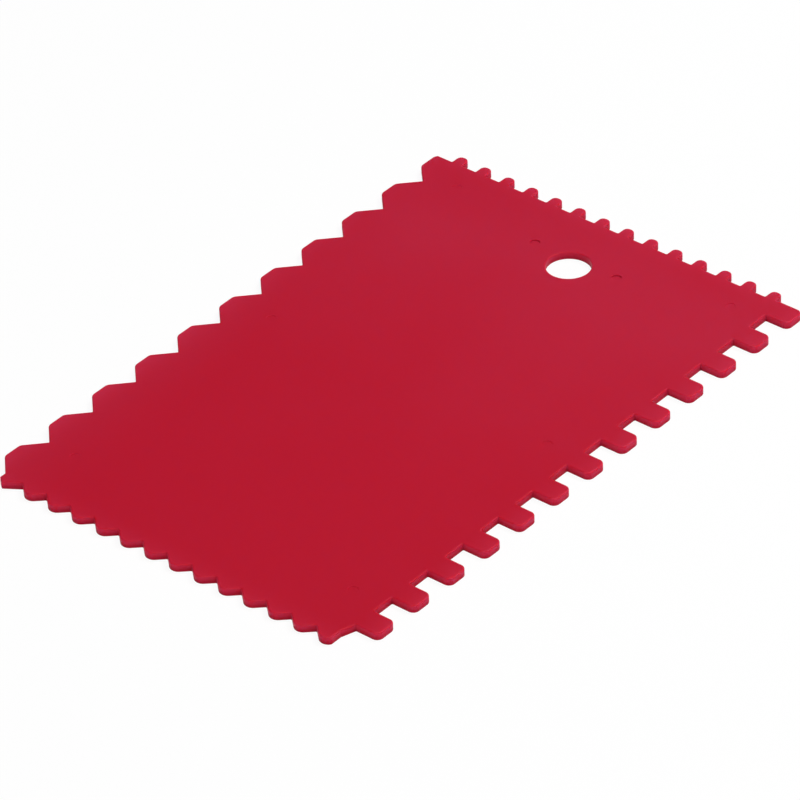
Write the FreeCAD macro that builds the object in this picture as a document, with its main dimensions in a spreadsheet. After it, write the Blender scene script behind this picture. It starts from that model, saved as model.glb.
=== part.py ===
import FreeCAD, Part

import enum
import math
import os

import Sketcher

# Four-sided adhesive spreader: one flat moulded plate with a different row of teeth on each edge.
# +X runs along the long edges, from the scalloped end to the pin end, +Y towards the V-notched
# edge and +Z out of the upper face. The plate lies on Z = 0 with the middle of its outline on
# the Z axis.
#
# Everything is drawn from one corner of the core, where the V-notch root line (Y = 0) meets the
# scallop root line (X = 0). The core runs from there towards +X and -Y, and each row of teeth
# stands on one of its four edges. The body's placement then centres the outline.

# Driving sizes, in millimetres. A row's start is its first tooth's distance from the core's
# corner, and its depth is how far the teeth stand out from the core.
SIZES = {
    "thickness": 2.0,
    "core_length": 154.9,
    "core_width": 96.1,
    # V-notched long edge
    "vee_start": 0.35,
    "vee_pitch": 14.42,
    "vee_opening": 9.5,
    "vee_depth": 4.5,
    "vee_tip_radius": 1.8,
    # square-notched long edge
    "square_start": 5.3,
    "square_pitch": 12.0,
    "square_tooth": 5.95,
    "square_depth": 6.15,
    "square_tip_radius": 1.6,
    # scalloped short end: flanks that would meet at the peak, rounded off below it
    "scallop_start": 5.5,
    "scallop_pitch": 7.02,
    "scallop_base": 6.7,
    "scallop_peak": 3.13,
    "scallop_tip_radius": 2.2,
    # pin-toothed short end
    "pin_start": 0.3,
    "pin_pitch": 7.03,
    "pin_width": 2.9,
    "pin_depth": 3.05,
    # pointed tooth where the V-notched edge meets the scallops
    "corner_reach": 2.6,
    "corner_point": 1.55,
    "corner_shoulder": 1.35,
    # shallow cut-back where the scallops meet the square-notched edge
    "relief_depth": 1.2,
    "relief_flat": 1.75,
    # hole to hang it by
    "hole_radius": 5.3,
    "hole_from_pins": 17.1,
    "hole_from_vees": 48.55,
    # round ejector marks in the upper face: six shallow ones around the core, two deeper ones
    # beside the hole
    "mark_radius": 1.25,
    "mark_depth": 0.15,
    "mark_from_scallops": 14.25,
    "mark_from_pins": 7.85,
    "mark_from_long_edges": 8.25,
    "hole_mark_depth": 0.4,
    "hole_mark_spread": 23.7,
    "hole_mark_shift": 2.6,
}

NODE = "spreader_plate"
UP = FreeCAD.Vector(0, 0, 1)


class At(enum.IntEnum):
    """How a sketch numbers the points of a line or an arc."""

    START = 1
    END = 2
    CENTRE = 3


class Axis(enum.IntEnum):
    """How a sketch numbers its own axes; the X axis starts at the origin."""

    X = -1
    Y = -2


class Formula:
    """A length and the sheet formula that gives it."""

    def __init__(self, value, text):
        self.value = value
        self.text = text

    def __add__(self, other):
        return Formula(self.value + other.value, f"({self.text} + {other.text})")

    def __sub__(self, other):
        return Formula(self.value - other.value, f"({self.text} - {other.text})")

    def __neg__(self):
        return Formula(-self.value, f"(-{self.text})")

    def __truediv__(self, number):
        return Formula(self.value / number, f"({self.text} / {number})")


ZERO = Formula(0, "0")
SIZE = {name: Formula(value, f"Sizes.{name}") for name, value in SIZES.items()}

doc = FreeCAD.newDocument("notched_spreader")
sheet = doc.addObject("Spreadsheet::Sheet", "Sizes")
for row, (name, value) in enumerate(SIZES.items(), start=1):
    sheet.set(f"A{row}", name)
    sheet.set(f"B{row}", str(value))
    sheet.setAlias(f"B{row}", name)

body = doc.addObject("PartDesign::Body", NODE)
body.Label = NODE


def origin_feature(role):
    """The body's own origin plane or axis of that role."""
    return next(item for item in body.Origin.OriginFeatures if item.Role == role)


def vector(x, y):
    return FreeCAD.Vector(x, y, 0)


class Outline:
    """Closed outlines on the plate's underside, fully dimensioned from the core's corner."""

    def __init__(self, name):
        self.sketch = body.newObject("Sketcher::SketchObject", name)
        self.sketch.AttachmentSupport = [(origin_feature("XY_Plane"), "")]
        self.sketch.MapMode = "FlatFace"

    def lift(self, height):
        """Raise the outlines above the underside."""
        self.sketch.setExpression("AttachmentOffset.Base.z", height.text)

    def line(self, first, last):
        return self.sketch.addGeometry(Part.LineSegment(first, last), False)

    def circle(self, centre, radius):
        return self.sketch.addGeometry(Part.Circle(centre, UP, radius), False)

    def arc(self, centre, first, last):
        """An anticlockwise arc about the centre, from one point to another."""
        circle = Part.Circle(centre, UP, (first - centre).Length)
        angles = [math.atan2(point.y - centre.y, point.x - centre.x) for point in (first, last)]
        if angles[1] < angles[0]:
            angles[1] += 2 * math.pi
        return self.sketch.addGeometry(Part.ArcOfCircle(circle, *angles), False)

    def tie(self, kind, *where):
        self.sketch.addConstraint(Sketcher.Constraint(kind, *where))

    def size(self, kind, *where, length):
        """A dimension that follows its formula."""
        number = self.sketch.addConstraint(Sketcher.Constraint(kind, *where, length.value))
        self.sketch.setExpression(f"Constraints[{number}]", length.text)

    def place(self, edge, point, x, y):
        """Dimension a point from the core's corner, or put it on an axis."""
        for kind, length, axis in (("DistanceX", x, Axis.Y), ("DistanceY", y, Axis.X)):
            if length is ZERO:
                self.tie("PointOnObject", edge, point, axis)
            else:
                self.size(kind, Axis.X, At.START, edge, point, length=length)

    def hole(self, x, y, radius):
        rim = self.circle(vector(x.value, y.value), radius.value)
        self.place(rim, At.CENTRE, x, y)
        self.size("Radius", rim, length=radius)

    def polygon(self, corners):
        """Straight edges through corners given anticlockwise as (x, y) or (x, y, radius).

        A corner with a radius is rounded off, and its dimensions stay on the sharp corner.
        """
        points = [vector(x.value, y.value) for x, y, *_ in corners]
        arrive, leave, arcs = [], [], []
        for number, (_, _, *radius) in enumerate(corners):
            point = points[number]
            if not radius:
                arrive.append(point)
                leave.append(point)
                arcs.append(None)
                continue
            back = (points[number - 1] - point).normalize()
            ahead = (points[(number + 1) % len(points)] - point).normalize()
            half_angle = back.getAngle(ahead) / 2
            setback = radius[0].value / math.tan(half_angle)
            centre = point + (back + ahead).normalize() * (radius[0].value / math.sin(half_angle))
            arrive.append(point + back * setback)
            leave.append(point + ahead * setback)
            arcs.append(self.arc(centre, arrive[-1], leave[-1]))
        edges = [self.line(leave[number - 1], arrive[number]) for number in range(len(corners))]
        for number, (x, y, *radius) in enumerate(corners):
            edge, following, arc = edges[number], edges[(number + 1) % len(edges)], arcs[number]
            if arc is None:
                self.tie("Coincident", edge, At.END, following, At.START)
                self.place(edge, At.END, x, y)
                continue
            self.tie("Tangent", edge, At.END, arc, At.START)
            self.tie("Tangent", arc, At.END, following, At.START)
            self.size("Radius", arc, length=radius[0])
            sharp = self.sketch.addGeometry(Part.Point(points[number]), True)
            self.tie("PointOnObject", sharp, At.START, edge)
            self.tie("PointOnObject", sharp, At.START, following)
            self.place(sharp, At.START, x, y)


def pad(outline, name):
    """Raise the outline to the plate's thickness."""
    feature = body.newObject("PartDesign::Pad", name)
    feature.Profile = outline.sketch
    feature.setExpression("Length", SIZE["thickness"].text)
    return feature


def cut_through(outline, name):
    """Cut the outline upwards through the whole plate."""
    feature = body.newObject("PartDesign::Pocket", name)
    feature.Profile = outline.sketch
    feature.Type = "ThroughAll"
    feature.Reversed = True
    return feature


def sink(outline, name, depth):
    """Sink the outline into the plate from its upper face."""
    outline.lift(SIZE["thickness"])
    feature = body.newObject("PartDesign::Pocket", name)
    feature.Profile = outline.sketch
    feature.setExpression("Length", depth.text)
    return feature


def repeat(tooth, name, axis, pitch, count, backwards=False):
    """Repeat a tooth along one of the body's axes; the count is a formula of the sheet."""
    row = body.newObject("PartDesign::LinearPattern", name)
    row.Originals = [tooth]
    row.Direction = (origin_feature(axis), [""])
    row.Reversed = backwards
    row.Mode = "Spacing"
    row.setExpression("Offset", pitch.text)
    row.setExpression("Occurrences", count)
    body.Tip = row


length = SIZE["core_length"]
width = SIZE["core_width"]


def core():
    outline = Outline("core_outline")
    outline.polygon([(ZERO, -width), (length, -width), (length, ZERO), (ZERO, ZERO)])
    pad(outline, "core")


def vee_row():
    """Broad teeth from one V root to the next, the last one cut off at the pin root line."""
    start, pitch, depth = SIZE["vee_start"], SIZE["vee_pitch"], SIZE["vee_depth"]
    half_opening, radius = SIZE["vee_opening"] / 2, SIZE["vee_tip_radius"]
    outline = Outline("vee_tooth_outline")
    outline.polygon(
        [
            (start, ZERO),
            (start + pitch, ZERO),
            (start + pitch - half_opening, depth, radius),
            (start + half_opening, depth, radius),
        ]
    )
    count = f"ceil(({length.text} - {start.text}) / {pitch.text})"
    repeat(pad(outline, "vee_tooth"), "vee_row", "X_Axis", pitch, count)
    trim = Outline("vee_trim_outline")
    beyond, above = length + pitch, depth + depth
    trim.polygon([(length, ZERO), (beyond, ZERO), (beyond, above), (length, above)])
    cut_through(trim, "vee_trim")


def square_row():
    """Square teeth with rounded tips, with notches of the same width between them."""
    start, pitch, tooth = SIZE["square_start"], SIZE["square_pitch"], SIZE["square_tooth"]
    tip, radius = -(width + SIZE["square_depth"]), SIZE["square_tip_radius"]
    outline = Outline("square_tooth_outline")
    outline.polygon(
        [
            (start, tip, radius),
            (start + tooth, tip, radius),
            (start + tooth, -width),
            (start, -width),
        ]
    )
    count = f"floor(({length.text} - {start.text} - {tooth.text} / 2) / {pitch.text}) + 1"
    repeat(pad(outline, "square_tooth"), "square_row", "X_Axis", pitch, count)


def scallop_row():
    """Round-topped teeth with straight flanks."""
    start, pitch, base = SIZE["scallop_start"], SIZE["scallop_pitch"], SIZE["scallop_base"]
    peak, radius = SIZE["scallop_peak"], SIZE["scallop_tip_radius"]
    outline = Outline("scallop_outline")
    outline.polygon([(ZERO, -start), (-peak, -(start + base / 2), radius), (ZERO, -(start + base))])
    count = f"ceil(({width.text} - {start.text}) / {pitch.text})"
    repeat(pad(outline, "scallop"), "scallop_row", "Y_Axis", pitch, count, backwards=True)


def pin_row():
    """Narrow teeth with fully round ends."""
    start, pitch, across = SIZE["pin_start"], SIZE["pin_pitch"], SIZE["pin_width"]
    upper, lower, centre_line = -start, -(start + across), -(start + across / 2)
    centre_x = length + SIZE["pin_depth"] - across / 2
    outline = Outline("pin_outline")
    lower_side = outline.line(vector(length.value, lower.value), vector(centre_x.value, lower.value))
    end = outline.arc(
        vector(centre_x.value, centre_line.value),
        vector(centre_x.value, lower.value),
        vector(centre_x.value, upper.value),
    )
    upper_side = outline.line(vector(centre_x.value, upper.value), vector(length.value, upper.value))
    root = outline.line(vector(length.value, upper.value), vector(length.value, lower.value))
    outline.tie("Tangent", lower_side, At.END, end, At.START)
    outline.tie("Tangent", end, At.END, upper_side, At.START)
    outline.tie("Coincident", upper_side, At.END, root, At.START)
    outline.tie("Coincident", root, At.END, lower_side, At.START)
    outline.tie("Horizontal", lower_side)
    outline.tie("Horizontal", upper_side)
    outline.place(root, At.START, length, upper)
    outline.place(root, At.END, length, lower)
    outline.size("DistanceX", Axis.X, At.START, end, At.CENTRE, length=centre_x)
    count = f"floor(({width.text} - {start.text} - {across.text}) / {pitch.text}) + 1"
    repeat(pad(outline, "pin"), "pin_row", "Y_Axis", pitch, count, backwards=True)


def corner_tooth():
    """Sharp tooth at the corner between the V-notched edge and the scallops."""
    outline = Outline("corner_tooth_outline")
    outline.polygon(
        [
            (ZERO, ZERO),
            (-SIZE["corner_shoulder"], ZERO),
            (-SIZE["corner_reach"], -SIZE["corner_point"]),
            (ZERO, -SIZE["scallop_start"]),
        ]
    )
    pad(outline, "corner_tooth")


def corner_relief():
    """Cut-back from the last scallop to the first square tooth."""
    clear = SIZE["scallop_pitch"]
    ledge = -(width - SIZE["relief_depth"])
    outline = Outline("corner_relief_outline")
    outline.polygon(
        [
            (-clear, -(width + clear)),
            (SIZE["square_start"], -(width + clear)),
            (SIZE["square_start"], -width),
            (SIZE["relief_flat"], ledge),
            (-clear, ledge),
        ]
    )
    cut_through(outline, "corner_relief")


hole_x = length - SIZE["hole_from_pins"]
hole_y = -SIZE["hole_from_vees"]


def hanging_hole():
    outline = Outline("hanging_hole_outline")
    outline.hole(hole_x, hole_y, SIZE["hole_radius"])
    cut_through(outline, "hanging_hole")


def ejector_marks():
    """Three pairs of marks along the plate, and one pair with the hanging hole between them."""
    radius, inset = SIZE["mark_radius"], SIZE["mark_from_long_edges"]
    first, last = SIZE["mark_from_scallops"], length - SIZE["mark_from_pins"]
    outline = Outline("core_marks_outline")
    for x in (first, (first + last) / 2, last):
        for y in (-inset, inset - width):
            outline.hole(x, y, radius)
    sink(outline, "core_marks", SIZE["mark_depth"])

    beside = SIZE["hole_mark_spread"] / 2
    outline = Outline("hole_marks_outline")
    for y in (hole_y + beside, hole_y - beside):
        outline.hole(hole_x + SIZE["hole_mark_shift"], y, radius)
    sink(outline, "hole_marks", SIZE["hole_mark_depth"])


core()
vee_row()
square_row()
scallop_row()
pin_row()
corner_tooth()
corner_relief()
hanging_hole()
ejector_marks()

# Bring the middle of the outline over the origin.
middle_x = (SIZE["corner_reach"] - length - SIZE["pin_depth"]) / 2
middle_y = (width + SIZE["square_depth"] - SIZE["vee_depth"]) / 2
body.setExpression("Placement.Base.x", middle_x.text)
body.setExpression("Placement.Base.y", middle_y.text)
doc.recompute()

for item in doc.Objects:
    if "Invalid" in item.State or "Error" in item.State:
        raise RuntimeError(f"{item.Label} could not be made: {item.State}")
if body.Shape.isNull() or not body.Shape.isValid() or len(body.Shape.Solids) != 1:
    raise RuntimeError(f"{body.Label} is not one sound solid")

os.makedirs("parts", exist_ok=True)
body.Shape.exportStep(f"parts/{body.Label}.step")
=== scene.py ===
import math
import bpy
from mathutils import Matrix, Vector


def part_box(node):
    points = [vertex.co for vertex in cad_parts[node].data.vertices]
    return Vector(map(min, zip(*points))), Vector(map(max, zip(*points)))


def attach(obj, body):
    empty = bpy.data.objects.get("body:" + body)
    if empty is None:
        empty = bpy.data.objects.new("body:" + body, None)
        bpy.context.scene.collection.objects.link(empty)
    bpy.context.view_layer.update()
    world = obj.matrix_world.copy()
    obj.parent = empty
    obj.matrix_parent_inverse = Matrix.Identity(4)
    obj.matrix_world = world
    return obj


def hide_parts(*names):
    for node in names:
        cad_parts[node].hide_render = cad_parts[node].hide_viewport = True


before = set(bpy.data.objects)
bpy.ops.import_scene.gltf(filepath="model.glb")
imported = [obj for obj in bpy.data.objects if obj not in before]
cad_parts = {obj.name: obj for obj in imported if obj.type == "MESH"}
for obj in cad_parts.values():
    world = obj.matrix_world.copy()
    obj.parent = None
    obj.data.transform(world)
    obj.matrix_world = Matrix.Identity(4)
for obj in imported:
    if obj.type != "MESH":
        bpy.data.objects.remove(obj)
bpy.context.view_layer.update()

from types import SimpleNamespace

import bmesh
import bpy
from bpy.props import FloatProperty, FloatVectorProperty, PointerProperty
from mathutils import Quaternion, Vector

bl_info = {
    "name": "Notched Spreader",
    "version": (1, 0, 0),
    "blender": (4, 5, 0),
    "location": "View3D > Sidebar > Spreader",
    "description": "A four-sided adhesive spreader moulded in red plastic, on a pale stage",
    "category": "Add Mesh",
}

NODE = "spreader_plate"
PLATE_LOW, PLATE_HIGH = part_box(NODE)
THICKNESS = PLATE_HIGH.z - PLATE_LOW.z
MM = 0.001

ARC_STEP = 0.25 * MM  # a rounded corner has one more facet for each step of its radius
ARC_LEAST = 4  # and this many to begin with
HOLE_STEPS = 96  # sides of the hanging hole
MARK_STEPS = 40  # sides of an ejector mark
PIN_ROUND = 0.45  # just under half a pin's width, so that its two roundings never meet
LAND = 0.02 * MM  # flat strip that a face keeps between its rounded edge and its fill
WELD = 0.002 * MM  # points closer than this are one
FLOOR_GAP = 0.05 * MM  # from the plate down to the floor
FLOOR_REACH = 3.0  # from the plate to the floor's edge, in metres
FLOOR_COLOUR = (0.95, 0.95, 0.95, 1)
ROSY_WANDER = 0.7  # how far clouds shift the rosy band, as a share of its reach
WALL_FOOT = 0.15  # the painted shade on the edge walls is at its darkest below this share of the thickness
WALL_UPPER = 0.7  # and their painted light is at its palest above this one
CLOUD_DETAIL = 2.0
GRAIN_DETAIL = 3.0
SPREAD_IN_PLASTIC = (1.0, 0.1, 0.15)  # how far red, green and blue travel, as shares of the glow depth
# painted shade at the walls' feet blends towards this
BLACK = (0, 0, 0, 1)
WHITE = (1, 1, 1, 1)


# ---- what a user can change


def length(name, description, millimetres):
    """A size, written in millimetres and kept in metres."""
    return FloatProperty(
        name=name, description=description, default=millimetres * MM, min=0, precision=5, unit="LENGTH"
    )


def share(name, description, default):
    return FloatProperty(name=name, description=description, default=default, min=0, max=1, subtype="FACTOR")


def colour(name, description, default):
    return FloatVectorProperty(
        name=name, description=description, default=default, min=0, max=1, subtype="COLOR"
    )


def angle(name, description, degrees):
    return FloatProperty(name=name, description=description, default=math.radians(degrees), unit="ROTATION")


def power(name, description, watts):
    return FloatProperty(name=name, description=description, default=watts, min=0, unit="POWER")


class SpreaderTeeth(bpy.types.PropertyGroup):
    """The four tooth rows. Each stands on a straight root line, and the four lines frame the core."""

    vee_start: length("V Start", "First V root, from the scallops' root line", 0.35)
    vee_pitch: length("V Pitch", "Distance from one V root to the next", 14.42)
    vee_opening: length("V Opening", "Width of a V notch at its mouth", 9.5)
    vee_depth: length("V Depth", "Height of the broad teeth between the V notches", 4.5)
    vee_tip_radius: length("V Tip Radius", "Rounding of the broad teeth's shoulders", 1.8)
    square_start: length("Square Start", "First square tooth, from the scallops' root line", 5.3)
    square_pitch: length("Square Pitch", "Distance from one square tooth to the next", 12.0)
    square_tooth: length("Square Tooth", "Width of a square tooth", 5.95)
    square_depth: length("Square Depth", "Height of the square teeth", 6.15)
    square_tip_radius: length("Square Tip Radius", "Rounding of the square teeth's corners", 1.6)
    scallop_start: length("Scallop Start", "First scallop, from the V root line", 5.5)
    scallop_pitch: length("Scallop Pitch", "Distance from one scallop to the next", 7.02)
    scallop_base: length("Scallop Base", "Width of a scallop at its root", 6.7)
    scallop_peak: length("Scallop Peak", "Height at which a scallop's two flanks would meet", 3.13)
    scallop_tip_radius: length("Scallop Tip Radius", "Rounding of the scallops' tips", 2.2)
    pin_start: length("Pin Start", "First pin, from the V root line", 0.3)
    pin_pitch: length("Pin Pitch", "Distance from one pin to the next", 7.03)
    pin_width: length("Pin Width", "Width of a pin", 2.9)
    pin_depth: length("Pin Depth", "Height of the pins", 3.05)
    corner_reach: length("Corner Reach", "Height of the pointed tooth at the corner", 2.6)
    corner_point: length("Corner Point", "Its point's distance from the V root line", 1.55)
    corner_shoulder: length("Corner Shoulder", "Length of its side along the V root line", 1.35)
    relief_depth: length("Relief Depth", "Cut-back beside the first square tooth", 1.2)
    relief_flat: length("Relief Flat", "Length of the flat part of the cut-back", 1.75)


class SpreaderMoulding(bpy.types.PropertyGroup):
    """The hanging hole, and the small roundings and marks that a mould leaves."""

    hole_radius: length("Hole Radius", "Radius of the hanging hole", 5.3)
    hole_from_pins: length("Hole From Pins", "Its centre, from the pins' root line", 17.1)
    hole_from_vees: length("Hole From Vs", "Its centre, from the V root line", 48.55)
    root_radius: length("Root Radius", "Rounding of the inner corners between teeth", 0.25)
    corner_radius: length("Corner Radius", "Rounding of the outer corners that aren't a tooth's tip", 0.4)
    cut_radius: length("Cut Radius", "Rounding where the scallops and pins meet the square teeth", 0.8)
    top_edge: length("Top Edge", "Rounding of the upper rim", 0.34)
    bottom_edge: length("Bottom Edge", "Rounding of the lower rim", 0.15)
    mark_radius: length("Mark Radius", "Radius of an ejector mark", 1.25)
    mark_brim: length("Mark Brim", "How far an ejector mark's soft brim reaches", 0.05)
    mark_depth: length("Mark Depth", "Depth of the six ejector marks around the core", 0.15)
    mark_from_scallops: length("Mark From Scallops", "The first marks, from the scallops' root line", 14.25)
    mark_from_pins: length("Mark From Pins", "The last marks, from the pins' root line", 7.85)
    mark_from_long_edges: length("Mark From Long Edges", "The marks, from the long edges' root lines", 8.25)
    hole_mark_depth: length("Hole Mark Depth", "Depth of the two ejector marks beside the hole", 0.4)
    hole_mark_spread: length("Hole Mark Spread", "Distance between the two marks beside the hole", 23.7)
    hole_mark_shift: length("Hole Mark Shift", "How far these lie from the hole towards the pins", 2.6)


class SpreaderFinish(bpy.types.PropertyGroup):
    """The moulded plastic, with painted light on its tooth tips and the walls' upper part, and painted shade
    at the walls' feet.
    """

    body_colour: colour("Body Colour", "Deep colour of the plate", (0.485, 0.005, 0.025))
    rosy_colour: colour("Rosy Colour", "Its colour along a broad band near the pins", (0.485, 0.012, 0.042))
    rosy_place: length("Rosy Place", "Middle of that band, from the plate's middle towards the pins", 57)
    rosy_reach: length("Rosy Reach", "From there to where the deep colour is reached", 110)
    rosy_wander: length("Rosy Wander", "Size of the clouds that blur the band", 45)
    rosy_rim: length("Rosy Rim", "How far the rosy colour also reaches in from the V row's tips", 24)
    # painted light: this pale colour stands for light shining through the plastic, not a colour the plastic
    # has
    painted_light_colour: colour("Pale Colour", "Colour where light comes through the plastic", (0.60, 0.026, 0.075))
    # how much painted light each tooth row's tips get
    vee_painted_light: share("V Paleness", "How much of it shows at the V row's tips, outside the rosy band", 0.53)
    pin_painted_light: share("Pin Paleness", "How much of it shows at the pins' tips", 0.78)
    square_painted_light: share("Square Paleness", "How much of it shows at the square teeth's tips", 0.4)
    scallop_painted_light: share("Scallop Paleness", "How much of it shows at the scallops' tips", 0.3)
    # how far in from the tips the painted light reaches
    tip_reach: length("Tip Reach", "From the tips to where their paleness has faded out", 7)
    # painted light on the walls' upper part, and painted shade at their feet
    painted_wall_light: share("Wall Share", "How much of it the upper part of the edge walls adds", 0.75)
    painted_wall_shade: share("Wall Shade", "How much darker the foot of the edge walls is", 0.12)
    roughness: share("Roughness", "Roughness of the satin surface", 0.52)
    shine: share("Shine", "Strength of the surface's reflection, where a half is common plastic", 0.13)
    glow: share("Glow", "Share of the light that goes into the plastic before it comes out", 1.0)
    glow_depth: length("Glow Depth", "How far red light travels inside the plastic", 1.2)
    grain_size: length("Grain Size", "Size of the fine mould texture", 0.5)
    grain_depth: length("Grain Depth", "Depth of the fine mould texture", 0.004)


class SpreaderStage(bpy.types.PropertyGroup):
    """Camera and light."""

    view_azimuth: angle("View Azimuth", "Turn of the camera about the plate, from -Y", -49.187)
    view_elevation: angle("View Elevation", "Height of the camera over the floor", 35.59)
    view_roll: angle("View Roll", "Turn of the camera about its line of sight", -2.10)
    view_distance: length("View Distance", "From the camera to its target", 1482.1)
    target: FloatVectorProperty(
        name="Target",
        description="The point at the middle of the picture",
        default=(-1.733 * MM, -0.867 * MM, 0),
        precision=5,
        subtype="TRANSLATION",
        unit="LENGTH",
    )
    lens: FloatProperty(name="Lens", description="Focal length on a 36 mm sensor", default=300, unit="CAMERA")
    room: share("Room", "Strength of the even light from all round", 0.12)
    key: power("Key", "Soft light high beside the pins", 8.3)
    overhead: power("Overhead", "Soft light straight above", 2.8)
    fill: power("Fill", "Weak light from the camera's side", 6.0)
    floor_shade: share("Floor Shade", "How much of the floor's own light and shadow the camera sees", 0.08)


SETTINGS = {
    "spreader_teeth": SpreaderTeeth,
    "spreader_moulding": SpreaderMoulding,
    "spreader_finish": SpreaderFinish,
    "spreader_stage": SpreaderStage,
}


# ---- node trees


class Number:
    """A number in a node tree. A sum with it adds a Math node."""

    def __init__(self, tree, socket):
        self.tree = tree
        self.socket = socket

    def maths(self, operation, *others):
        node = self.tree.nodes.new("ShaderNodeMath")
        node.operation = operation
        for socket, item in zip(node.inputs, (self, *others)):
            feed(self.tree, socket, item)
        return Number(self.tree, node.outputs[0])

    def __add__(self, other):
        return self.maths("ADD", other)

    def __sub__(self, other):
        return self.maths("SUBTRACT", other)

    def __mul__(self, other):
        return self.maths("MULTIPLY", other)

    def __truediv__(self, other):
        return self.maths("DIVIDE", other)

    def __mod__(self, other):
        return self.maths("MODULO", other)

    def __neg__(self):
        return self.maths("MULTIPLY", -1)

    def __abs__(self):
        return self.maths("ABSOLUTE")

    def __floor__(self):
        return self.maths("FLOOR")

    def __ceil__(self):
        return self.maths("CEIL")

    def below(self, other):
        return self.maths("LESS_THAN", other)

    def above(self, other):
        return self.maths("GREATER_THAN", other)

    def at_most(self, other):
        return self.maths("MINIMUM", other)

    def at_least(self, other):
        return self.maths("MAXIMUM", other)


def feed(tree, socket, item):
    """Link a number or an output to a socket, or set the socket to a plain value."""
    if isinstance(item, Number):
        tree.links.new(item.socket, socket)
    elif isinstance(item, bpy.types.NodeSocket):
        tree.links.new(item, socket)
    else:
        socket.default_value = item


def add(tree, kind, output=None, settings=(), **inputs):
    """Add a node and return an output of it. Inputs go by their labels, with _ for a space."""
    node = tree.nodes.new(kind)
    for name, setting in dict(settings).items():
        setattr(node, name, setting)
    for name, item in inputs.items():
        label = name.replace("_", " ")
        feed(tree, next(socket for socket in node.inputs if socket.enabled and socket.name == label), item)
    if output:
        return node.outputs[output]
    return next(socket for socket in node.outputs if socket.enabled)


def number(tree, kind, output=None, settings=(), **inputs):
    """Add a node and return an output of it as a number."""
    return Number(tree, add(tree, kind, output, settings, **inputs))


def joined(tree, *parts):
    """Join geometries in their order. The socket takes its links last first."""
    node = tree.nodes.new("GeometryNodeJoinGeometry")
    for part in reversed(parts):
        tree.links.new(part, node.inputs[0])
    return node.outputs[0]


def point(tree, x=0.0, y=0.0, z=0.0):
    return add(tree, "ShaderNodeCombineXYZ", X=x, Y=y, Z=z)


def along(tree, axis, vector):
    """A vector's measure along X, Y or Z."""
    return number(tree, "ShaderNodeSeparateXYZ", axis, Vector=vector)


def chosen(tree, kind, index, choices):
    """The choice that has this index."""
    node = tree.nodes.new("GeometryNodeIndexSwitch")
    node.data_type = kind
    while len(node.index_switch_items) < len(choices):
        node.index_switch_items.new()
    for socket, item in zip(node.inputs, (index, *choices)):
        feed(tree, socket, item)
    return node.outputs[0]


# ---- the outline


def corner_row(tree, count, per_tooth, place):
    """The sharp corners of a row of teeth, each with the radius that will round it off.

    place gives one tooth's corners as (x, y, radius), from the tooth's number.
    """
    index = number(tree, "GeometryNodeInputIndex")
    corners = place(math.floor(index / per_tooth))
    turn = index % per_tooth
    return add(
        tree,
        "GeometryNodePoints",
        Count=count,
        Position=chosen(tree, "VECTOR", turn, [point(tree, x, y) for x, y, _ in corners]),
        Radius=chosen(tree, "FLOAT", turn, [radius for _, _, radius in corners]),
    )


def corner_list(tree, *corners):
    """A few corners that don't repeat."""
    return corner_row(tree, len(corners), len(corners), lambda _: corners)


def rounded(tree, corners, closed):
    """One line through the corners in their order, with each corner rounded by its own radius."""
    order = add(tree, "GeometryNodeInputIndex")
    line = add(tree, "GeometryNodePointsToCurves", Points=corners, Weight=order)
    line = add(tree, "GeometryNodeSetSplineCyclic", Geometry=line, Cyclic=closed)
    radius = number(tree, "GeometryNodeInputRadius")
    line = add(
        tree,
        "GeometryNodeFilletCurve",
        settings={"mode": "POLY"},
        Curve=line,
        Count=math.floor(radius / ARC_STEP) + ARC_LEAST,
        Radius=radius,
        Limit_Radius=True,
    )
    return add(tree, "GeometryNodeSetCurveRadius", Curve=line, Radius=1.0)


def either(condition, first, second):
    """The first number where the condition holds, and otherwise the second."""
    return condition * (first - second) + second


def vee_row(tree, at):
    """Broad teeth and V notches. The last tooth is cut off at the pins' root line."""
    per_tooth = 3
    half = at.vee_opening / 2
    tip = at.core_top + at.vee_depth

    def tooth(number_in_row):
        foot = at.core_left + at.vee_start + at.vee_pitch * number_in_row
        cut = (foot - at.core_right).at_least(0) * at.vee_depth / half
        radius = either(cut.above(0), at.corner_radius, at.root_radius)
        return (
            (foot.at_most(at.core_right), at.core_top + cut, radius),
            (foot + half, tip, at.vee_tip_radius),
            (foot + at.vee_pitch - half, tip, at.vee_tip_radius),
        )

    count = math.ceil((at.core_right - at.core_left - at.vee_start) / at.vee_pitch)
    end_of_cut = 1
    return corner_row(tree, count * per_tooth + end_of_cut, per_tooth, tooth)


def pin_row(tree, at):
    """Narrow pins with fully round ends."""
    per_tooth = 4
    tip = at.core_right + at.pin_depth
    end_radius = at.pin_width * PIN_ROUND

    def tooth(number_in_row):
        upper = at.core_top - at.pin_start - at.pin_pitch * number_in_row
        lower = upper - at.pin_width
        return (
            (at.core_right, upper, at.root_radius),
            (tip, upper, end_radius),
            (tip, lower, end_radius),
            (at.core_right, lower, at.root_radius),
        )

    room = at.core_top - at.core_bottom - at.pin_start - at.pin_width
    count = math.floor(room / at.pin_pitch) + 1
    return corner_row(tree, count * per_tooth, per_tooth, tooth)


def square_row(tree, at):
    """Square teeth with rounded corners, from the pin end back to the scalloped end."""
    per_tooth = 4
    tip = at.core_bottom - at.square_depth
    room = at.core_right - at.core_left - at.square_start - at.square_tooth / 2
    count = math.floor(room / at.square_pitch) + 1

    def tooth(number_in_row):
        near = at.core_left + at.square_start + at.square_pitch * (count - 1 - number_in_row)
        far = near + at.square_tooth
        far_radius = either(far.above(at.core_right), at.cut_radius, at.root_radius)
        return (
            (far, at.core_bottom, far_radius),
            (far, tip, at.square_tip_radius),
            (near, tip, at.square_tip_radius),
            (near, at.core_bottom, at.root_radius),
        )

    return corner_row(tree, count * per_tooth, per_tooth, tooth)


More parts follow.
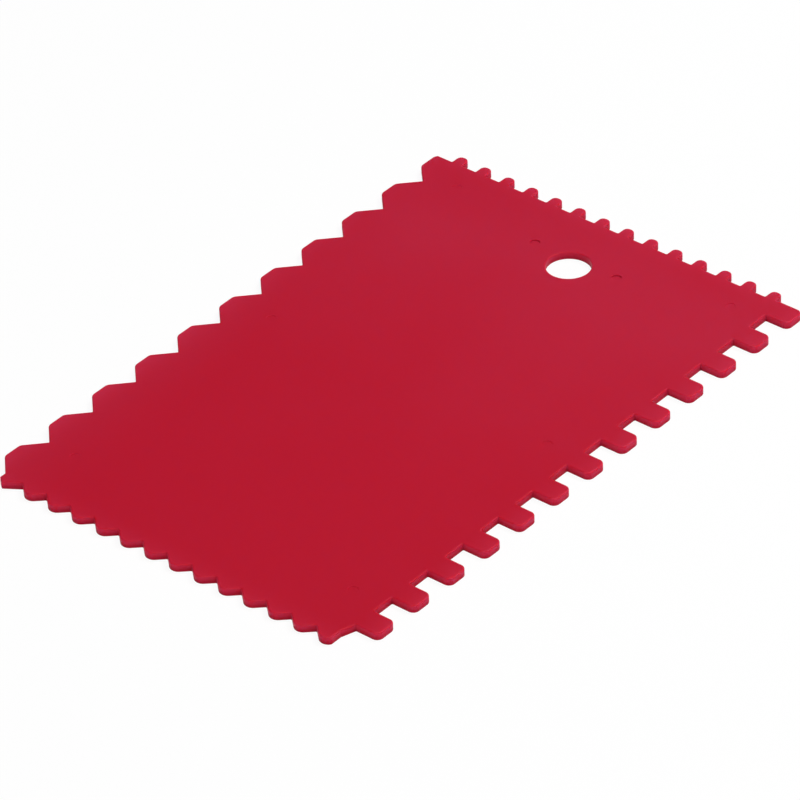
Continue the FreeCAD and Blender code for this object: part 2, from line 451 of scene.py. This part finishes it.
def scallop_row(tree, at):
    """Small scallops with straight flanks. The one beside the square teeth ends at the cut-back."""
    per_tooth = 3
    ledge = at.core_bottom + at.relief_depth
    slope = at.scallop_peak / (at.scallop_base / 2)
    count = math.ceil((at.core_top - at.core_bottom - at.scallop_start) / at.scallop_pitch)

    def tooth(number_in_row):
        upper = at.core_top - at.scallop_start - at.scallop_pitch * (count - 1 - number_in_row)
        lower = upper - at.scallop_base
        cut = (ledge - lower).at_least(0)
        return (
            (at.core_left - cut * slope, lower + cut, either(cut.above(0), at.cut_radius, at.root_radius)),
            (at.core_left - at.scallop_peak, upper - at.scallop_base / 2, at.scallop_tip_radius),
            (at.core_left, upper, at.root_radius),
        )

    return corner_row(tree, count * per_tooth, per_tooth, tooth)


def outline(tree, at):
    """The plate's outline, seen from above and clockwise from the V notches."""
    ledge = at.core_bottom + at.relief_depth
    corners = joined(
        tree,
        vee_row(tree, at),
        pin_row(tree, at),
        square_row(tree, at),
        corner_list(tree, (at.core_left + at.relief_flat, ledge, at.cut_radius)),
        scallop_row(tree, at),
        corner_list(
            tree,
            (at.core_left - at.corner_reach, at.core_top - at.corner_point, at.corner_radius),
            (at.core_left - at.corner_shoulder, at.core_top, at.corner_radius),
        ),
    )
    return rounded(tree, corners, closed=True)


# ---- the plate


def swept(tree, path, section):
    """A wall with this section along a path: its X points right of the way along, its Y points down."""
    path = add(tree, "GeometryNodeSetCurveNormal", settings={"mode": "Z_UP"}, Curve=path)
    wall = add(tree, "GeometryNodeCurveToMesh", Curve=path, Profile_Curve=section)
    return add(tree, "GeometryNodeMergeByDistance", Geometry=wall, Distance=WELD)


def circle(tree, radius, steps):
    return add(tree, "GeometryNodeCurvePrimitiveCircle", Radius=radius, Resolution=steps)


def moved(tree, geometry, **place):
    return add(tree, "GeometryNodeTransform", Geometry=geometry, Translation=point(tree, **place))


def filled(tree, loops):
    """A flat face inside the loops, at height zero."""
    return add(tree, "GeometryNodeFillCurve", settings={"mode": "NGONS"}, Curve=loops)


def open_loops(tree, wall, picked):
    """The wall's open edges as loops, where the condition on their height holds."""
    is_open = number(tree, "GeometryNodeInputMeshEdgeNeighbors").below(2)
    place = add(tree, "GeometryNodeInputPosition")
    height = along(tree, "Z", place)
    return add(tree, "GeometryNodeMeshToCurve", Mesh=wall, Selection=is_open * picked(height))


def wall_section(tree, at):
    """From the lower face round the edge to the upper face."""
    below, above = at.bottom_edge + LAND, at.top_edge + LAND
    corners = corner_list(
        tree,
        (below, 0.0, 0.0),
        (0.0, 0.0, at.bottom_edge),
        (0.0, -at.thickness, at.top_edge),
        (above, -at.thickness, 0.0),
    )
    return rounded(tree, corners, closed=False)


def dish_section(tree, at, depth):
    """From an ejector mark's floor up its side and over a soft brim to the face."""
    corners = corner_list(
        tree,
        (-at.mark_brim, depth, 0.0),
        (0.0, depth, at.mark_brim / 2),
        (0.0, 0.0, at.mark_brim / 2),
        (at.mark_brim, 0.0, 0.0),
    )
    return rounded(tree, corners, closed=False)


def mark_pair(tree, x, middle_y, spread):
    """The places of two ejector marks, one each side of a middle line."""
    side = number(tree, "GeometryNodeInputIndex") - 0.5
    place = point(tree, x, middle_y + side * spread)
    return add(tree, "GeometryNodePoints", Count=2, Position=place)


def sunk_marks(tree, at, places, depth):
    """Round recesses at these places: the brims that the upper face is cut to, and the dishes below."""
    brim = circle(tree, at.mark_radius + at.mark_brim, MARK_STEPS)
    side = swept(tree, circle(tree, at.mark_radius, MARK_STEPS), dish_section(tree, at, depth))
    floor = filled(tree, circle(tree, at.mark_radius - at.mark_brim, MARK_STEPS))
    dish = joined(tree, side, moved(tree, floor, z=-depth))
    made = []
    for instance in (brim, dish):
        copies = add(tree, "GeometryNodeInstanceOnPoints", Points=places, Instance=instance)
        made.append(add(tree, "GeometryNodeRealizeInstances", Geometry=copies))
    return made


def ejector_marks(tree, at):
    """Three pairs of shallow marks along the plate, and a deeper pair beside the hanging hole."""
    first = at.core_left + at.mark_from_scallops
    last = at.core_right - at.mark_from_pins
    middle_y = (at.core_top + at.core_bottom) / 2
    spread = at.core_top - at.core_bottom - at.mark_from_long_edges * 2
    pairs = joined(tree, *(mark_pair(tree, x, middle_y, spread) for x in (first, (first + last) / 2, last)))
    brims, dishes = sunk_marks(tree, at, pairs, at.mark_depth)
    hole_pair = mark_pair(tree, at.hole_x + at.hole_mark_shift, at.hole_y, at.hole_mark_spread)
    hole_brims, hole_dishes = sunk_marks(tree, at, hole_pair, at.hole_mark_depth)
    return joined(tree, brims, hole_brims), joined(tree, dishes, hole_dishes)


def size_labels():
    """The label in the panel and on the node tree of each size that the plate needs."""
    labels = {
        "core_left": "Core Left",
        "core_right": "Core Right",
        "core_top": "Core Top",
        "core_bottom": "Core Bottom",
        "thickness": "Thickness",
    }
    for group in (SpreaderTeeth, SpreaderMoulding):
        labels.update((key, group.bl_rna.properties[key].name) for key in group.__annotations__)
    return labels


def plate_sizes(scene):
    """Every size that the plate needs. The solid's box gives the frame, the settings give the teeth."""
    teeth, moulding = scene.spreader_teeth, scene.spreader_moulding
    sizes = {key: getattr(group, key) for group in (teeth, moulding) for key in type(group).__annotations__}
    sizes["core_left"] = PLATE_LOW.x + teeth.corner_reach
    sizes["core_right"] = PLATE_HIGH.x - teeth.pin_depth
    sizes["core_top"] = PLATE_HIGH.y - teeth.vee_depth
    sizes["core_bottom"] = PLATE_LOW.y + teeth.square_depth
    sizes["thickness"] = THICKNESS
    return sizes


def plate_tree(material):
    """The plate as a node tree: its edge is swept along the outline and both faces are filled in."""
    tree = bpy.data.node_groups.new("moulded_plate", "GeometryNodeTree")
    tree.interface.new_socket("Geometry", in_out="OUTPUT", socket_type="NodeSocketGeometry")
    labels = size_labels()
    for label in labels.values():
        tree.interface.new_socket(label, in_out="INPUT", socket_type="NodeSocketFloat")
    given = tree.nodes.new("NodeGroupInput")
    at = SimpleNamespace(**{key: Number(tree, given.outputs[label]) for key, label in labels.items()})
    at.hole_x = at.core_right - at.hole_from_pins
    at.hole_y = at.core_top - at.hole_from_vees

    hole = moved(tree, circle(tree, at.hole_radius, HOLE_STEPS), x=at.hole_x, y=at.hole_y)
    wall = swept(tree, joined(tree, outline(tree, at), hole), wall_section(tree, at))

    brims, dishes = ejector_marks(tree, at)

    middle = at.thickness / 2
    top = filled(tree, joined(tree, open_loops(tree, wall, lambda height: height.above(middle)), brims))
    bottom = filled(tree, open_loops(tree, wall, lambda height: height.below(middle)))
    bottom = add(tree, "GeometryNodeFlipFaces", Mesh=bottom)
    plate = joined(tree, wall, moved(tree, joined(tree, top, dishes), z=at.thickness), bottom)
    plate = add(tree, "GeometryNodeRealizeInstances", Geometry=plate)
    plate = add(tree, "GeometryNodeMergeByDistance", Geometry=plate, Distance=WELD)
    plate = add(tree, "GeometryNodeSetShadeSmooth", Geometry=plate)
    plate = add(tree, "GeometryNodeSetMaterial", Geometry=plate, Material=material)
    tree.links.new(plate, tree.nodes.new("NodeGroupOutput").inputs[0])
    return tree


def plain_mesh(carrier, name):
    """A new object with what the carrier's modifiers make, in place of the carrier."""
    seen = carrier.evaluated_get(bpy.context.evaluated_depsgraph_get())
    mesh = bpy.data.meshes.new_from_object(seen)
    mesh.name = name
    made = bpy.data.objects.new(name, mesh)
    bpy.context.scene.collection.objects.link(made)
    bpy.data.objects.remove(carrier)
    return made


def check_closed(piece):
    """Stop unless the mesh is one closed skin that faces outwards."""
    shape = bmesh.new()
    shape.from_mesh(piece.data)
    gaps = sum(not edge.is_manifold for edge in shape.edges)
    turned = sum(not edge.is_contiguous for edge in shape.edges)
    volume = shape.calc_volume(signed=True)
    shape.free()
    if gaps or turned or volume <= 0:
        raise RuntimeError(f"{piece.name}: {gaps} open edges, {turned} turned faces, volume {volume}")


# ---- materials


def noise(tree, place, size, detail):
    """Cloudy noise from 0 to 1, whose clouds are about this size."""
    return number(tree, "ShaderNodeTexNoise", Vector=place, Scale=1 / size, Detail=detail)


def blend(tree, share_of_second, first, second):
    """A colour between two."""
    return add(
        tree, "ShaderNodeMix", settings={"data_type": "RGBA"}, Factor=share_of_second, A=first, B=second
    )


def fading(distance, reach):
    """1 at no distance, and 0 from the reach on."""
    nearness = (-distance / reach + 1).at_least(0)
    return nearness * nearness


def painted_tip_light(tree, place, finish, band):
    """The share of painted light along the tips of each tooth row, where it stands for light shining through
    the plastic. It fades out towards the core.
    """
    x, y = along(tree, "X", place), along(tree, "Y", place)
    rows = (
        (-y + PLATE_HIGH.y, (-band + 1) * finish.vee_painted_light),
        (-x + PLATE_HIGH.x, finish.pin_painted_light),
        (y - PLATE_LOW.y, finish.square_painted_light),
        (x - PLATE_LOW.x, finish.scallop_painted_light),
    )
    vees, pins, squares, scallops = (
        fading(inside_tips, finish.tip_reach) * painted_light for inside_tips, painted_light in rows
    )
    return vees.at_least(pins).at_least(squares).at_least(scallops)


def wall_parts(tree, place):
    """How far a point is on the upper part of an upright wall, which gets painted light, and how far on its
    foot, which gets painted shade.
    """
    normal = add(tree, "ShaderNodeNewGeometry", "Normal")
    upright = -abs(along(tree, "Z", normal)) + 1
    upper = number(
        tree,
        "ShaderNodeMapRange",
        settings={"interpolation_type": "SMOOTHSTEP"},
        Value=along(tree, "Z", place) / THICKNESS,
        From_Min=WALL_FOOT,
        From_Max=WALL_UPPER,
    )
    return upright * upper, upright * (-upper + 1)


def rosy_band(tree, place, finish):
    """1 along the middle of the rosy band across the plate, and 0 beyond its reach."""
    x = along(tree, "X", place)
    wander = (noise(tree, place, finish.rosy_wander, CLOUD_DETAIL) - 0.5) * ROSY_WANDER
    nearness = (-abs(x - finish.rosy_place) / finish.rosy_reach + 1 + wander).at_least(0).at_most(1)
    return nearness * nearness


def rosy_rim(tree, place, finish):
    """1 at the V row's tips, and 0 further in than the rim reaches."""
    return fading(-along(tree, "Y", place) + PLATE_HIGH.y, finish.rosy_rim)


def moulded_plastic(finish):
    """Satin red plastic. Light spreads inside it, painted light makes the tooth tips and the walls' upper
    part paler, and painted shade makes the walls' feet darker.
    """
    material = bpy.data.materials.new("moulded_plastic")
    material.use_nodes = True
    tree = material.node_tree
    place = add(tree, "ShaderNodeTexCoord", "Object")
    # the walls' upper part gets painted light and their foot painted shade
    upper, foot = wall_parts(tree, place)
    band = rosy_band(tree, place, finish)
    # painted light: paler tooth tips and a paler upper wall, as if lit through the plastic
    pale = (painted_tip_light(tree, place, finish, band) + upper * finish.painted_wall_light).at_most(1)
    rosy = band.at_least(rosy_rim(tree, place, finish))
    tone = blend(tree, rosy, (*finish.body_colour, 1), (*finish.rosy_colour, 1))
    # the painted light's colour is blended over the plastic's tone here
    tone = blend(tree, pale, tone, (*finish.painted_light_colour, 1))
    # painted shade: the walls' feet are darkened towards black
    tone = blend(tree, foot * finish.painted_wall_shade, tone, BLACK)
    grain = add(
        tree,
        "ShaderNodeBump",
        Height=noise(tree, place, finish.grain_size, GRAIN_DETAIL),
        Distance=finish.grain_depth,
        Strength=1.0,
    )
    shader = tree.nodes["Principled BSDF"]
    feed(tree, shader.inputs["Base Color"], tone)
    feed(tree, shader.inputs["Normal"], grain)
    shader.inputs["Roughness"].default_value = finish.roughness
    shader.inputs["Specular IOR Level"].default_value = finish.shine
    shader.inputs["Subsurface Weight"].default_value = finish.glow
    shader.inputs["Subsurface Radius"].default_value = SPREAD_IN_PLASTIC
    shader.inputs["Subsurface Scale"].default_value = finish.glow_depth
    return material


def pale_floor(shade):
    """White to the camera, but for a share of its own light and shadow."""
    material = bpy.data.materials.new("pale_floor")
    material.use_nodes = True
    tree = material.node_tree
    lit = tree.nodes["Principled BSDF"]
    lit.inputs["Base Color"].default_value = FLOOR_COLOUR
    lit.inputs["Roughness"].default_value = 1
    lit.inputs["Specular IOR Level"].default_value = 0
    rays = tree.nodes.new("ShaderNodeLightPath").outputs
    seen = Number(tree, rays["Is Camera Ray"])
    for kind in ("Is Glossy Ray", "Is Transmission Ray"):
        seen = seen.at_least(rays[kind])
    white = add(tree, "ShaderNodeEmission", Color=WHITE, Strength=1.0)
    mixed = tree.nodes.new("ShaderNodeMixShader")
    feed(tree, mixed.inputs[0], seen * (1 - shade))
    feed(tree, mixed.inputs[1], lit.outputs[0])
    feed(tree, mixed.inputs[2], white)
    tree.links.new(mixed.outputs[0], tree.nodes["Material Output"].inputs[0])
    return material


# ---- operators


class SPREADER_OT_plate(bpy.types.Operator):
    """Mould the plate with its four tooth rows, hanging hole and ejector marks"""

    bl_idname = "spreader.plate"
    bl_label = "Moulded Plate"

    def execute(self, context):
        scene = context.scene
        carrier = bpy.data.objects.new("carrier", bpy.data.meshes.new("carrier"))
        scene.collection.objects.link(carrier)
        labels, sizes = size_labels(), plate_sizes(scene)
        tree = plate_tree(moulded_plastic(scene.spreader_finish))
        modifier = carrier.modifiers.new("Plate", "NODES")
        modifier.node_group = tree
        by_label = {labels[key]: sizes[key] for key in labels}
        for item in tree.interface.items_tree:
            if item.in_out == "INPUT":
                modifier[item.identifier] = by_label[item.name]
        carrier.modifiers.new("Even shading", "WEIGHTED_NORMAL")
        plate = plain_mesh(carrier, "moulded_plate")
        check_closed(plate)
        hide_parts(NODE)
        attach(plate, "root")
        return {"FINISHED"}


def soft_lamp(name, azimuth, elevation, distance, width, watts):
    """A square soft light that looks at the plate. Its azimuth is counted from +X towards +Y."""
    lamp = bpy.data.lights.new(name, "AREA")
    lamp.energy = watts
    lamp.size = width
    turn, rise = math.radians(azimuth), math.radians(elevation)
    direction = Vector((math.cos(turn) * math.cos(rise), math.sin(turn) * math.cos(rise), math.sin(rise)))
    obj = bpy.data.objects.new(name, lamp)
    obj.location = direction * distance
    obj.rotation_euler = direction.to_track_quat("Z", "Y").to_euler()
    bpy.context.scene.collection.objects.link(obj)


def add_camera(view):
    """The photograph's camera."""
    camera = bpy.data.cameras.new("camera")
    camera.lens = view.lens
    turn, rise = view.view_azimuth, view.view_elevation
    back = Vector((math.sin(turn) * math.cos(rise), -math.cos(turn) * math.cos(rise), math.sin(rise)))
    obj = bpy.data.objects.new("camera", camera)
    obj.location = Vector(view.target) + back * view.view_distance
    level = back.to_track_quat("Z", "Y")
    obj.rotation_euler = (level @ Quaternion((0, 0, 1), view.view_roll)).to_euler()
    bpy.context.scene.collection.objects.link(obj)
    bpy.context.scene.camera = obj


class SPREADER_OT_stage(bpy.types.Operator):
    """Lay a pale floor, light it softly and set the camera"""

    bl_idname = "spreader.stage"
    bl_label = "Stage"

    def execute(self, context):
        scene = context.scene
        stage = scene.spreader_stage
        shape = bmesh.new()
        bmesh.ops.create_grid(shape, x_segments=1, y_segments=1, size=FLOOR_REACH)
        bmesh.ops.translate(shape, verts=shape.verts, vec=(0, 0, PLATE_LOW.z - FLOOR_GAP))
        mesh = bpy.data.meshes.new("floor")
        shape.to_mesh(mesh)
        shape.free()
        mesh.materials.append(pale_floor(stage.floor_shade))
        floor = bpy.data.objects.new("floor", mesh)
        scene.collection.objects.link(floor)

        soft_lamp("key", azimuth=-35, elevation=60, distance=1.1, width=0.5, watts=stage.key)
        soft_lamp("overhead", azimuth=0, elevation=90, distance=1.2, width=0.9, watts=stage.overhead)
        soft_lamp("fill", azimuth=214, elevation=30, distance=1.3, width=1.3, watts=stage.fill)

        world = bpy.data.worlds.new("room")
        world.use_nodes = True
        background = world.node_tree.nodes["Background"]
        background.inputs["Color"].default_value = WHITE
        background.inputs["Strength"].default_value = stage.room
        scene.world = world

        add_camera(stage)
        scene.view_settings.view_transform = "Standard"
        return {"FINISHED"}


class SPREADER_PT_panel(bpy.types.Panel):
    """Sizes, colours and light, with a button for each step"""

    bl_idname = "SPREADER_PT_panel"
    bl_label = "Notched Spreader"
    bl_space_type = "VIEW_3D"
    bl_region_type = "UI"
    bl_category = "Spreader"

    def draw(self, context):
        for name, group in SETTINGS.items():
            box = self.layout.box()
            for key in group.__annotations__:
                box.prop(getattr(context.scene, name), key)
        for operator in OPERATORS:
            self.layout.operator(operator.bl_idname)


OPERATORS = (SPREADER_OT_plate, SPREADER_OT_stage)
CLASSES = (*SETTINGS.values(), *OPERATORS, SPREADER_PT_panel)


def register():
    for item in CLASSES:
        bpy.utils.register_class(item)
    for name, group in SETTINGS.items():
        setattr(bpy.types.Scene, name, PointerProperty(type=group))


def unregister():
    for name in SETTINGS:
        delattr(bpy.types.Scene, name)
    for item in reversed(CLASSES):
        bpy.utils.unregister_class(item)


def main():
    register()
    bpy.ops.spreader.plate()
    bpy.ops.spreader.stage()


if __name__ == "__main__":
    main()
